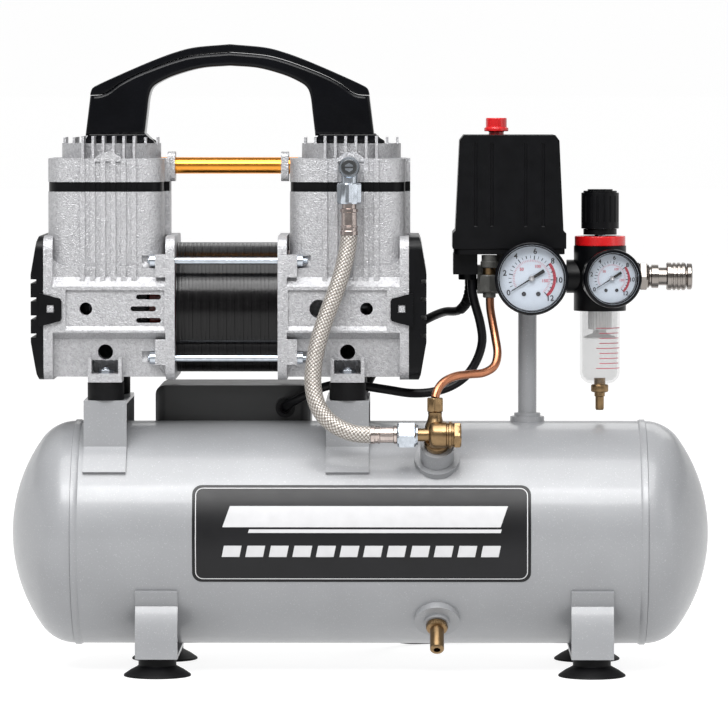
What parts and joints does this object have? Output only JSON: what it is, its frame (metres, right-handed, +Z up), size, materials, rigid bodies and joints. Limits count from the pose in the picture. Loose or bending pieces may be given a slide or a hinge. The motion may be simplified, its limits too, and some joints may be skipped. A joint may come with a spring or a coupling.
{
  "type": "airbrush compressor",
  "caption": "Oil-free piston compressor on a small horizontal air tank, with a carrying handle, pressure switch, gauges, filter-regulator and quick coupler.",
  "frame": {"origin": "on the floor under the middle of the air tank", "axes": "+X along the tank towards the outlet coupler, +Y to the rear, +Z up"},
  "size_m": [0.5, 0.3503, 0.4482],
  "materials": {
    "tank_paint": "glossy silver-grey paint",
    "casting": "sand-textured die casting",
    "black_plastic": "moulded black plastic",
    "gloss_black": "glossy black plastic",
    "rubber": "black rubber",
    "zinc": "zinc plated",
    "nickel": "nickel plated",
    "steel": "machined steel",
    "lamination": "black lacquered laminations",
    "copper_wire": "enamelled copper wire",
    "anodised": "orange anodised",
    "brass": "bare brass",
    "copper": "bare copper tube",
    "braid": "stainless wire braid",
    "box_grey": "grey plastic",
    "red_plastic": "red plastic",
    "clear_plastic": "clear polycarbonate",
    "filter_white": "white porous plastic",
    "cable_black": "black cable sheath",
    "gauge_case": "black lacquered case"
  },
  "bodies": {
    "base": {"tank_shell": "tank_paint", "tank_heads": "tank_paint", "foot_cradles": "tank_paint", "suction_feet": "rubber", "pump_brackets": "tank_paint", "isolators": "rubber", "fasteners": "zinc", "tie_rods": "zinc", "crankcase_left": "casting", "crankcase_right": "casting", "end_cover_left": "black_plastic", "end_cover_right": "black_plastic", "stator": "lamination", "windings": "copper_wire", "shaft_bearings": "steel", "cylinder_sleeves": "steel", "valve_plates": "black_plastic", "cylinder_head_left": "casting", "cylinder_head_right": "casting", "crossover_pipe": "anodised", "handle": "gloss_black", "handle_grip": "gloss_black", "hose_fittings": "zinc", "braided_hose": "braid", "check_valve": "brass", "unloader_tube": "copper", "manifold": "tank_paint", "switch_base": "black_plastic", "switch_cover": "black_plastic", "cable_glands": "black_plastic", "gauge_large": "gauge_case", "gauge_small": "gauge_case", "gauge_windows": "clear_plastic", "regulator_body": "black_plastic", "regulator_ring": "red_plastic", "filter_bowl": "clear_plastic", "filter_element": "filter_white", "coupler_body": "nickel", "safety_valve": "brass", "capacitor_box": "box_grey", "motor_lead": "cable_black", "mains_cord": "cable_black", "mains_coil": "cable_black", "mains_plug": "cable_black"},
    "rotor_set": {"rotor": "steel", "eccentrics": "steel", "cooling_fans": "black_plastic"},
    "rod_left": {"con_rod_left": "casting"},
    "rod_right": {"con_rod_right": "casting"},
    "piston_left": {"piston_left": "casting"},
    "piston_right": {"piston_right": "casting"},
    "switch_knob": {"switch_knob": "red_plastic"},
    "large_pointer": {"needle_large": "gauge_case"},
    "small_pointer": {"needle_small": "gauge_case"},
    "spindle": {"regulator_spindle": "zinc"},
    "pressure_knob": {"regulator_knob": "black_plastic"},
    "bowl_drain": {"bowl_drain": "brass"},
    "sleeve": {"coupler_sleeve": "nickel"},
    "safety_ring": {"safety_pull": "zinc"},
    "drain_screw": {"tank_drain": "brass"}
  },
  "joints": [
    {"name": "shaft_spin", "type": "hinge", "parent": "base", "child": "rotor_set", "pos_m": [-0.0945, 0, 0.26], "axis": [1, 0, 0], "continuous": true},
    {"name": "rod_left_pivot", "type": "hinge", "parent": "rotor_set", "child": "rod_left", "pos_m": [-0.1805, 0.008, 0.26], "axis": [1, 0, 0], "continuous": true},
    {"name": "rod_right_pivot", "type": "hinge", "parent": "rotor_set", "child": "rod_right", "pos_m": [-0.0085, -0.008, 0.26], "axis": [1, 0, 0], "continuous": true},
    {"name": "piston_left_stroke", "type": "slide", "parent": "base", "child": "piston_left", "axis": [0, 0, 1], "range_m": [-0.008, 0.008]},
    {"name": "piston_right_stroke", "type": "slide", "parent": "base", "child": "piston_right", "axis": [0, 0, 1], "range_m": [-0.008, 0.008]},
    {"name": "switch_pull", "type": "slide", "parent": "base", "child": "switch_knob", "axis": [0, 0, 1], "range_m": [0, 0.006]},
    {"name": "large_needle_turn", "type": "hinge", "parent": "base", "child": "large_pointer", "pos_m": [0.122, -0.046, 0.282], "axis": [0, 1, 0], "range_deg": [0, 258]},
    {"name": "small_needle_turn", "type": "hinge", "parent": "base", "child": "small_pointer", "pos_m": [0.1792, -0.04543, 0.282], "axis": [-0.1564, 0.9877, 0], "range_deg": [0, 258]},
    {"name": "regulator_turn", "type": "hinge", "parent": "base", "child": "spindle", "pos_m": [0.172, 0, 0.3], "axis": [0, 0, -1], "range_deg": [0, 720]},
    {"name": "knob_lift", "type": "slide", "parent": "spindle", "child": "pressure_knob", "axis": [0, 0, 1], "range_m": [0, 0.003]},
    {"name": "bowl_drain_turn", "type": "hinge", "parent": "base", "child": "bowl_drain", "pos_m": [0.172, 0, 0.2], "axis": [0, 0, 1], "range_deg": [0, 180]},
    {"name": "sleeve_slide", "type": "slide", "parent": "base", "child": "sleeve", "axis": [-1, 0, 0], "range_m": [0, 0.005], "stiffness_N_per_m": 1500, "springref_m": -0.004},
    {"name": "safety_pull_slide", "type": "slide", "parent": "base", "child": "safety_ring", "axis": [0, 1, 0], "range_m": [0, 0.003], "stiffness_N_per_m": 2000, "springref_m": -0.003},
    {"name": "drain_turn", "type": "hinge", "parent": "base", "child": "drain_screw", "pos_m": [0.055, -0.06364, 0.03436], "axis": [0, -0.7071, -0.7071], "range_deg": [0, 360]}
  ],
  "couplings": [
    {"joint": "rod_left_pivot", "follows": "shaft_spin", "ratio": -1},
    {"joint": "rod_right_pivot", "follows": "shaft_spin", "ratio": -1}
  ]
}
